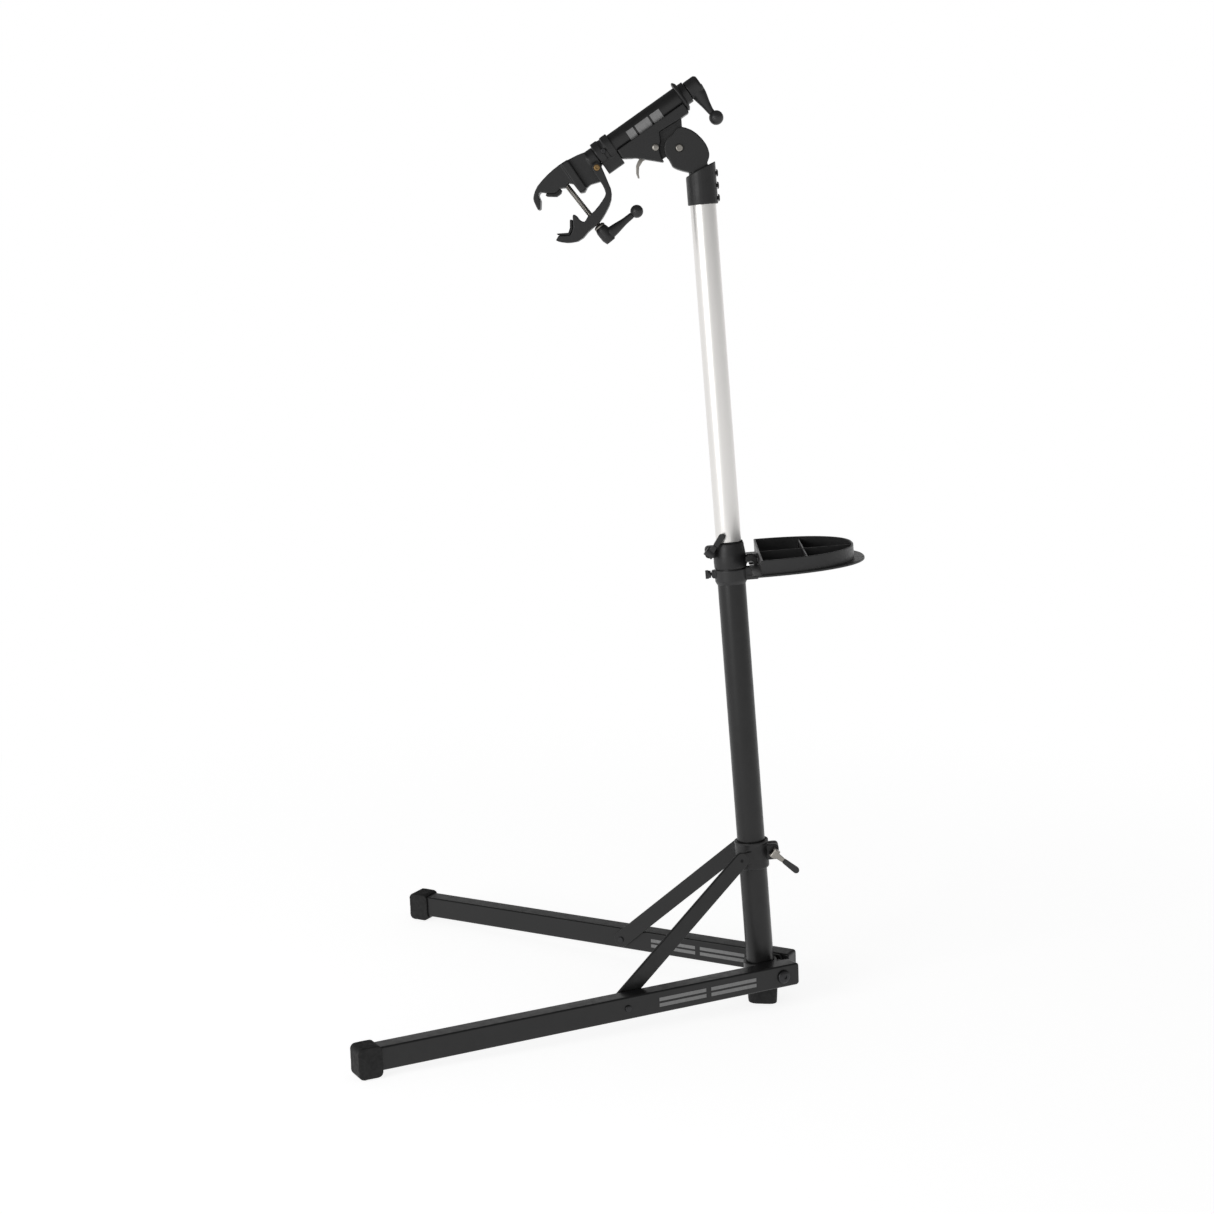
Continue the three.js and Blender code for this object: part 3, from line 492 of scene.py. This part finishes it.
def leg(name, side):
    place = LEG[name]
    lo, hi = extents(f"leg_{name}", place)
    outline = fillet([(hi.x, lo.z), (hi.x, hi.z), (lo.x, hi.z), (lo.x, lo.z)], 5, 8)
    box = plate("leg", place, outline, lo.y, hi.y, 2.4, 5)
    settle(flat_shade(box), f"leg_{name}")
    settle(casting(f"foot_cap_{name}", voxel=0.75, passes=14), f"foot_cap_{name}")

    outer = -side * hi.y
    wide = [(9.6, 0), (9.6, 1.9), (8, 3.4), (5.2, 4.3), (0, 4.6)]
    pivot_end = side * (BRACE_OFFSET + 1.5)
    headed_pin(f"leg_bolt_{name}", place, (0, outer, 0), (0, pivot_end, 0), 4, wide, 5)
    headed_pin(f"brace_bolt_{name}", place, (BRACE_ON_LEG, outer, 0),
               (BRACE_ON_LEG, side * hi.y, 0), 3, BUTTON)


def brace(name, side):
    place = BRACE[name]
    lo, hi = extents(f"brace_{name}", place)
    r = hi.z
    length = hi.x - r
    outline = arc((length, 0), r, -90, 90, 20) + arc((0, 0), r, 90, 270, 20)
    flat = plate("brace", place, outline, lo.y, hi.y, 1.0, 4)
    settle(flat_shade(flat), f"brace_{name}")
    t = side * hi.y
    headed_pin(f"brace_pin_{name}", place, (length, t, 0), (length, -t, 0), 3, FLAT)
    headed_pin(f"ear_pin_{name}", place, (0, t + side * EAR, 0), (0, -t, 0), 3, FLAT)


# ---------- Collars and levers ----------
def collars():
    barrel = ring("barrel", MAST, [(20, 198), (22.4, 198), (23.4, 200), (23.4, 234), (24.2, 234.2),
                                   (24.2, 238), (20, 238)], 0.8)
    slit = plate("slit", MAST, [(0, 190), (60, 190), (60, 245), (0, 245)], -1.2, 1.2, 0)
    settle(casting("fold_collar", minus(barrel, slit)), "fold_collar")
    barrel = ring("barrel", MAST, [(19.9, 629), (22.4, 629), (22.8, 638), (22.5, 647), (20.8, 659),
                                   (20.4, 664), (19.9, 664)], 0.8)
    slit = plate("slit", MAST, [(-60, 620), (0, 620), (0, 670), (-60, 670)], -1.2, 1.2, 0)
    settle(casting("height_clamp", minus(barrel, slit), voxel=0.6), "height_clamp")
    for name in ("fold", "height"):
        skewer(name)
        settle(casting(f"{name}_lever", voxel=0.4, passes=8), f"{name}_lever")
        settle(casting(f"{name}_lever_grip", voxel=0.45, passes=8), f"{name}_lever_grip")


def skewer(name):
    """The rod through the lugs, with its hex nut on the far side."""
    node = f"{name}_skewer"
    lo, hi = extents(node, MAST)
    x, z = (lo.x + hi.x) / 2, (lo.z + hi.z) / 2
    end = hi.y
    rod = turned("rod", MAST, [(0, lo.y), (2.6, lo.y), (2.6, end - 3), (0, end - 3)], 0.4,
                 "y", (x, 0, z), SMALL)
    nut = turned("nut", MAST, [(0, end - 5), (4.9, end - 5), (5.2, end - 4.4), (5.2, end - 0.9),
                               (4.7, end), (0, end)], 0.3, "y", (x, 0, z), HEX)
    settle(shade(plus(nut, rod), 25), node)


# ---------- Tray ----------
SOLE, RIM = 629, 651  # heights of the tray's underside and rim
TRAY_FLOOR = SOLE + 2.4
RIB_TOP = SOLE + 19
RIB_X = 102  # the cross rib's distance from the mast's axis
TONGUE_BACK = 32.4
LIP = (26, 185.5, 119)  # back, tip and half width of each outline
WALL = (38.6, 171, 113.4)
INSIDE = (41, 168.6, 111)


def oval(outline, inset=0, steps=72):
    """A half oval with its straight side at the back, as (x, y) points."""
    back, tip, half = outline
    bulge = 0.86  # fuller than an ellipse near the straight side
    points = []
    for i in range(steps + 1):
        angle = math.radians(-90 + 180 * i / steps)
        c, s = max(math.cos(angle), 0), math.sin(angle)
        x = back + inset + (tip - back - 2 * inset) * c ** bulge
        points.append((x, (half - inset) * math.copysign(abs(s) ** bulge, s)))
    return points


def loft(name, sections, place):
    """A solid through (outline, z) sections, closed at both ends."""
    bm = bmesh.new()
    rings = [[bm.verts.new((x, y, z)) for x, y in outline] for outline, z in sections]
    bridge(bm, rings)
    bm.faces.new(rings[0])
    bm.faces.new(rings[-1])
    return mesh_object(name, bm, place)


def tray():
    lip = loft("lip", [(oval(LIP, 0.9), SOLE), (oval(LIP, 0.2), SOLE + 0.5), (oval(LIP), SOLE + 1.4),
                       (oval(LIP, 0.2), SOLE + 2.5), (oval(LIP, 0.9), SOLE + 3)], MAST)
    front = WALL[0]
    notch = plate("notch", MAST, [(0, SOLE - 2), (front, SOLE - 2), (front, SOLE + 5), (0, SOLE + 5)],
                  -11, 11, 0)
    dish = loft("dish", [(oval(WALL, 1), SOLE), (oval(WALL), SOLE + 1), (oval(WALL), RIM - 0.6),
                         (oval(WALL, 0.6), RIM), (oval(INSIDE, -0.6), RIM), (oval(INSIDE), RIM - 0.6),
                         (oval(INSIDE), TRAY_FLOOR + 2), (oval(INSIDE, 0.6), TRAY_FLOOR + 0.6),
                         (oval(INSIDE, 2), TRAY_FLOOR)], MAST)
    inner = oval(INSIDE, -1)
    heights = (SOLE + 1, RIB_TOP)
    reach = max(point[0] for point in inner)
    half = max(y for x, y in inner if x >= RIB_X)
    ribs = [slab("rib", (INSIDE[0] - 1, reach), (-1, 1), heights),
            slab("rib", (RIB_X - 1, RIB_X + 1), (-half, half), heights)]
    leg_x, hook_x = TONGUE_BACK + 2.7, TONGUE_BACK + 7.2
    hook = [(TONGUE_BACK, 616.4), (leg_x, 616.4), (leg_x, 640), (hook_x, 640), (hook_x, 646),
            (TONGUE_BACK, 646)]
    tongue = plate("tongue", MAST, fillet(hook, 0.8), -5.9, 5.9, 0.5)
    settle(flat_shade(plus(dish, minus(lip, notch), *ribs, tongue), 40), "tray")


def slab(name, xs, ys, zs):
    """A thin upright wall whose long edges are rounded."""
    along_x = xs[1] - xs[0] > ys[1] - ys[0]
    thick, ends = (ys, xs) if along_x else (xs, ys)
    across = fillet([(thick[0], zs[0]), (thick[1], zs[0]), (thick[1], zs[1]), (thick[0], zs[1])], 0.7)
    bm = bmesh.new()
    rings = [[bm.verts.new((e, t, z) if along_x else (t, e, z)) for t, z in across] for e in ends]
    bridge(bm, rings)
    bm.faces.new(rings[0])
    bm.faces.new(rings[1])
    return mesh_object(name, bm, MAST)


def tray_bracket():
    band = ring("band", MAST, [(19.9, 606), (20.2, 606), (22.6, 611), (22.6, 627.5), (19.9, 627.5)], 0.7)
    gap = plate("gap", MAST, [(10, 600), (60, 600), (60, 640), (10, 640)], -6.2, 6.2, 0)
    cheek = [(21, 612), (37.5, 614), (37.5, 628.3), (21, 628.3)]
    cheeks = [plate("cheek", MAST, cheek, y, y + 2.6, 0.4) for y in (-9.2, 6.6)]
    settle(casting("tray_ring", minus(band, gap), *cheeks, voxel=0.6, passes=8), "tray_ring")
    knob = turned("knob", MAST, [(0, -32.5), (5.2, -32.1), (5.2, -27.9), (0, -27.5)], 0.6,
                  "x", (0, 0, 621.5), SMALL)
    settle(casting("tray_knob", knob, voxel=0.4, passes=6), "tray_knob")


# ---------- Head and arm ----------
def head():
    settle(casting("head_casting", voxel=0.7, passes=14), "head_casting")
    for i in range(3):
        node = f"socket_screw_{i + 1}"
        lo, hi = extents(node, MAST)
        z = (lo.z + hi.z) / 2
        top = hi.x
        screw = turned("screw", MAST, [(0, lo.x), (2.5, lo.x), (2.5, top - 2.5), (5, top - 2.5),
                                       (4.9, top - 1.6), (4.2, top - 0.6), (2.6, top - 0.1), (0, top)],
                       0.4, "x", (0, 0, z), SMALL)
        screw = minus(screw, hex_pocket("pocket", MAST, (top, 0, z), 3, 1.3, "x"))
        settle(shade(screw, 30), node)
    x, z = (MAST.inverted() @ place_of("arm_tilt")).xz
    cap = [(5, 0), (5, 2.7), (3.9, 3.7), (0, 3.7)]
    headed_pin("tilt_bolt", MAST, (x, -15, z), (x, 20, z), 4, cap, 5)
    nut = turned("nut", MAST, [(0, 15.3), (7.6, 15.3), (8, 16), (8, 20.2), (7.4, 21), (0, 21)], 0.3,
                 "y", (x, 0, z), HEX)
    settle(shade(minus(nut, drill(MAST, 4.3, 10, 30, "y", (x, 0, z))), 25), "tilt_nut")


ON_ARM = ("x", (0, 0, ARM_HEIGHT))  # the clamp arm's own axis


def arm():
    lo, hi = extents("arm_tube", ARM)
    r = hi.y
    tube = ring("tube", ARM, [(r - 2.3, lo.x), (r, lo.x), (r, hi.x), (r - 2.3, hi.x)], 0.7, *ON_ARM)
    settle(shade(tube), "arm_tube")
    web = plate("web", ARM, [(-70.9, 33), (-68, 33), (-68, 45), (-70.9, 45)], -10.5, 10.5, 0)
    settle(casting("arm_cradle", web, voxel=0.7, passes=12), "arm_cradle")
    bore = r + 0.3
    flange = ring("flange", ARM, [(bore, 37.5), (20, 37.5), (21.5, 38.6), (21.5, 40.4), (18, 43),
                                  (bore, 43)], 0.6, *ON_ARM)
    settle(shade(flange), "rear_flange")
    x, z = (ARM.inverted() @ place_of("latch_pull")).xz
    headed_pin("cradle_bolt", ARM, (x, -15.5, z), (x, 15.5, z), 3, BUTTON, 3)
    settle(casting("tilt_latch", voxel=0.4, passes=8), "tilt_latch")
    front = lo.x
    wide, narrow, rear = r + 2.6, r + 1.2, r + 2.8
    bands = ring("bands", ARM, [(bore, front + 0.5), (wide, front + 0.5), (wide, front + 10),
                                (narrow, front + 11), (narrow, front + 15), (rear, front + 16),
                                (rear, front + 26), (bore, front + 26)], 0.6, *ON_ARM)
    settle(casting("lock_collar", bands, voxel=0.55, passes=7), "lock_collar")
    y, bolt_x = -rear, front + 11
    bolt = turned("bolt", ARM, [(0, y - 0.3), (3.6, y - 0.3), (3.5, y - 2.2), (2.9, y - 2.8), (0, y - 2.8)],
                  0.4, "y", (bolt_x, 0, ARM_HEIGHT), SMALL)
    pocket = hex_pocket("pocket", ARM, (bolt_x, y - 2.8, ARM_HEIGHT), 3, 1.2, "y")
    settle(shade(minus(bolt, pocket), 30), "lock_bolt")


def knob_ball(node, place, centre, axis="z"):
    """A ball with a moulded parting line."""
    lo, hi = extents(node, place)
    r = (hi.y - lo.y) / 2
    profile = arc((0, 0), r, -90, -3, 24) + [(r - 0.25, 0)] + arc((0, 0), r, 3, 90, 24)
    profile[0], profile[-1] = (0, -r), (0, r)
    settle(shade(lathe("ball", place, profile, axis, centre, 56, closed=False), 50), node)


def rear_handle():
    hub = turned("hub", ARM, [(0, 51.6), (12.8, 51.6), (13, 54), (13, 68), (10.5, 71), (0, 71)], 1.0, *ON_ARM)
    x = 62
    lever = turned("lever", ARM, [(0, 55), (10.6, 53), (9.6, 41), (6.2, 27), (4.6, 17), (0, 17)], 3,
                   "z", (x, 0, 0), 64, 6)
    settle(casting("rear_handle", hub, lever, voxel=0.5, passes=10), "rear_handle")
    knob_ball("rear_knob", ARM, (x + 1.6, 0, 5))


# ---------- Jaws ----------
def jaws():
    lo, hi = extents("jaw_shaft", ARM)
    shaft = ring("shaft", ARM, [(9, lo.x), (hi.y, lo.x), (hi.y, hi.x), (9, hi.x)], 0.5, *ON_ARM)
    settle(shade(shaft), "jaw_shaft")
    collar = turned("collar", ARM, [(0, -110), (14, -110), (14, -97.1), (0, -97.1)], 0.3, *ON_ARM)
    settle(casting("upper_jaw", collar, voxel=0.7, passes=10), "upper_jaw")
    settle(casting("lower_jaw", voxel=0.7, passes=10), "lower_jaw")
    for node in ("upper_pad", "lower_pad"):
        settle(casting(node, voxel=0.4, passes=6, grow=0.4), node)
    lo, hi = extents("screw_pin", ARM)
    x, z = (lo.x + hi.x) / 2, (lo.z + hi.z) / 2
    pin = turned("pin", ARM, [(0, lo.y), (3, lo.y), (3, hi.y), (0, hi.y)], 0.6, "y", (x, 0, z), SMALL)
    settle(shade(pin), "screw_pin")
    x, z = (ARM.inverted() @ place_of("lower_jaw_close")).xz
    side = 19.3
    half = [(3, side), (4.5, side), (4.3, side + 1.1), (3.6, side + 1.7), (1.6, side + 1.9),
            (1.4, side + 1.2), (0, side + 1.1)]
    profile = [(r, -y) for r, y in half[::-1]] + half
    settle(shade(turned("pin", ARM, profile, 0.3, "y", (x, 0, z), SMALL), 30), "jaw_pin")


def threaded_rod(name, place, r, root, lead, starts, low, high):
    """A rod with a rounded thread of the given number of starts, along Z."""
    segments, rows_per_turn = 48, 40
    rows = int((high - low) / lead * rows_per_turn)
    bm = bmesh.new()
    rings = [[bm.verts.new((0, 0, low))]]
    for k in range(rows + 1):
        z = low + (high - low) * k / rows
        fade = min(1, (z - low) / 2, (high - z) / 2)
        ring = []
        for i in range(segments):
            angle = 2 * math.pi * i / segments
            wave = 0.5 + 0.5 * math.cos(starts * (angle - 2 * math.pi * z / lead))
            radius = root + (r - root) * wave * fade
            ring.append(bm.verts.new((radius * math.cos(angle), radius * math.sin(angle), z)))
        rings.append(ring)
    rings.append([bm.verts.new((0, 0, high))])
    bridge(bm, rings)
    return mesh_object(name, bm, place)


def clamp_screw():
    rod = threaded_rod("rod", SCREW, 3.6, 3.05, 5, 2, -103, -5)
    eye = ring("eye", SCREW, [(3.3, -5), (6.2, -5), (6.2, 5), (3.3, 5)], 0.6, "y", segments=SMALL)
    settle(shade(plus(eye, rod), 60), "clamp_screw")
    lo, hi = extents("thrust_washer", SCREW)
    low = lo.z - 0.4
    washer = ring("washer", SCREW, [(4.3, low), (8, low), (8, low + 2), (5.4, hi.z + 0.4), (4.3, hi.z)], 0.4,
                  segments=SMALL)
    settle(shade(washer, 40), "thrust_washer")
    top = extents("crank", SCREW)[1].z
    hub = ring("hub", SCREW, [(4.3, top), (7.4, top), (9, top - 5), (9, top - 17), (6.8, top - 24),
                              (4.3, top - 24)], 1.5, segments=64, steps=5)
    arm_z = top - 14.5
    lever = turned("lever", SCREW, [(0, 4), (8, 6), (7, 16), (4.8, 30), (4.2, 44), (0, 44)], 3,
                   "x", (0, 0, arm_z), 48, 6)
    settle(casting("crank", hub, minus(lever, drill(SCREW, 4.3, -60, -130)), voxel=0.45, passes=8), "crank")
    knob_ball("crank_knob", SCREW, (52, 0, arm_z))


# ---------- Printed stripes ----------
def print_material():
    s = Surface("pale_print", Roughness=0.55)
    s.colour(s.noise(260, 4), (0.14, 0.14, 0.14), (0.22, 0.22, 0.22))
    return s.material


def printed(name, node, bm, place, material):
    made = mesh_object(name, bm, place)
    made.data.materials.append(material)
    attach(made, BODY[node])


def stripes():
    """Plain bars printed on the arm and the legs."""
    ink = print_material()
    skin = 0.06  # how far the print stands on the paint
    low, sweep = -132, 54  # the arm print's start and reach, in degrees round the tube
    strips = 12
    bm = bmesh.new()
    r = extents("arm_tube", ARM)[1].y + skin
    for x0, x1 in ((-47, -36), (-33, -12), (-9, 6)):
        for i in range(strips):
            quad = []
            for x, k in ((x0, i), (x1, i), (x1, i + 1), (x0, i + 1)):
                angle = math.radians(low + sweep * k / strips)
                quad.append(bm.verts.new((x, r * math.sin(angle), ARM_HEIGHT + r * math.cos(angle))))
            bm.faces.new(quad)
    printed("arm_print", "arm_tube", bm, ARM, ink)
    for name in SIDES:
        bm = bmesh.new()
        y = extents(f"leg_{name}", LEG[name])[1].y + skin
        for x0, x1 in ((45, 118), (126, 200)):
            for z0, z1 in ((-7, -2), (1, 6)):
                corners = ((x0, y, z0), (x1, y, z0), (x1, y, z1), (x0, y, z1))
                bm.faces.new([bm.verts.new(c) for c in corners])
        printed(f"leg_print_{name}", f"leg_{name}", bm, LEG[name], ink)


# ---------- Camera, floor and light ----------
def camera():
    """A long lens at chest height, looking slightly down at the stand from its near side."""
    data = bpy.data.cameras.new("camera")
    data.lens, data.sensor_width = 61.41, 36
    data.clip_start, data.clip_end = 0.05, 60
    eye = bpy.data.objects.new("camera", data)
    yaw, pitch, roll = (math.radians(a) for a in (-1.18, 9.33, 1.30))
    eye.matrix_world = (
        Matrix.Translation((-0.17842, -2.85124, 1.0336))
        @ Matrix.Rotation(-yaw, 4, "Z")
        @ Matrix.Rotation(math.radians(90) - pitch, 4, "X")
        @ Matrix.Rotation(roll, 4, "Z")
    )
    bpy.context.scene.collection.objects.link(eye)
    bpy.context.scene.camera = eye


def floor():
    """A pale floor that fades into the backdrop's colour away from the stand."""
    bm = bmesh.new()
    bmesh.ops.create_circle(bm, cap_ends=True, segments=64, radius=14000)
    ground = mesh_object("floor", bm, WORLD)
    material = bpy.data.materials.new("floor")
    material.use_nodes = True
    tree = material.node_tree
    shader = tree.nodes["Principled BSDF"]
    shader.inputs["Base Color"].default_value = (0.5, 0.5, 0.5, 1)
    shader.inputs["Roughness"].default_value = 0.9
    shader.inputs["Specular IOR Level"].default_value = 0.1
    shader.inputs["Emission Color"].default_value = (1, 1, 1, 1)
    shader.inputs["Emission Strength"].default_value = 0.84
    where = tree.nodes.new("ShaderNodeTexCoord")
    distance = tree.nodes.new("ShaderNodeVectorMath")
    distance.operation = "LENGTH"
    tree.links.new(where.outputs["Object"], distance.inputs[0])
    fade = tree.nodes.new("ShaderNodeMapRange")
    fade.interpolation_type = "SMOOTHSTEP"
    fade.inputs["From Min"].default_value = 0.5
    fade.inputs["From Max"].default_value = 2.0
    tree.links.new(distance.outputs["Value"], fade.inputs["Value"])
    glow = tree.nodes.new("ShaderNodeEmission")
    glow.inputs["Color"].default_value = (1, 1, 1, 1)
    mix = tree.nodes.new("ShaderNodeMixShader")
    tree.links.new(fade.outputs["Result"], mix.inputs["Fac"])
    tree.links.new(shader.outputs["BSDF"], mix.inputs[1])
    tree.links.new(glow.outputs["Emission"], mix.inputs[2])
    tree.links.new(mix.outputs["Shader"], tree.nodes["Material Output"].inputs["Surface"])
    ground.data.materials.append(material)


def world():
    """Light that is white around the horizon, dim overhead, and a little dimmer on the right and
    in front. The backdrop itself stays white."""
    studio = bpy.data.worlds.new("studio")
    studio.use_nodes = True
    tree = studio.node_tree
    direction = tree.nodes.new("ShaderNodeTexCoord").outputs["Generated"]
    split = tree.nodes.new("ShaderNodeSeparateXYZ")
    tree.links.new(direction, split.inputs["Vector"])

    def fade(axis, start, end, dimmest):
        """A factor that falls from 1 to the dimmest as the direction turns along an axis."""
        ranged = tree.nodes.new("ShaderNodeMapRange")
        ranged.interpolation_type = "SMOOTHSTEP"
        span = {"From Min": start, "From Max": end, "To Min": 1, "To Max": dimmest}
        for socket, value in span.items():
            ranged.inputs[socket].default_value = value
        tree.links.new(split.outputs[axis], ranged.inputs["Value"])
        return ranged.outputs["Result"]

    def combine(operation, a, b):
        math_node = tree.nodes.new("ShaderNodeMath")
        math_node.operation = operation
        tree.links.new(a, math_node.inputs[0])
        tree.links.new(b, math_node.inputs[1])
        return math_node.outputs["Value"]

    overhead = fade("Z", math.sin(math.radians(8)), math.sin(math.radians(22)), 0.18)
    sides = combine("MULTIPLY", fade("X", 0.5, 0.98, 0.8), fade("Y", -0.3, -0.95, 0.88))
    lit = combine("MULTIPLY", overhead, sides)
    seen = tree.nodes.new("ShaderNodeLightPath").outputs["Is Camera Ray"]
    tree.links.new(combine("MAXIMUM", lit, seen), tree.nodes["Background"].inputs["Strength"])
    tree.nodes["Background"].inputs["Color"].default_value = (1, 1, 1, 1)
    bpy.context.scene.world = studio


def lamp(name, at, size, power):
    """A square softbox in metres and watts, aimed at the middle of the stand."""
    data = bpy.data.lights.new(name, "AREA")
    data.size, data.energy = size, power
    box = bpy.data.objects.new(name, data)
    box.location = at
    box.rotation_euler = (Vector((0, 0, 0.6)) - Vector(at)).to_track_quat("-Z", "Y").to_euler()
    bpy.context.scene.collection.objects.link(box)


def light():
    world()
    lamp("key", (-2.4, -2.5, 1.2), 1.6, 34)
    bpy.context.scene.view_settings.view_transform = "Standard"


camera()
floor()
light()
base()
for side_name, side_sign in SIDES.items():
    leg(side_name, side_sign)
    brace(side_name, side_sign)
collars()
tray_bracket()
tray()
head()
arm()
rear_handle()
jaws()
clamp_screw()
stripes()
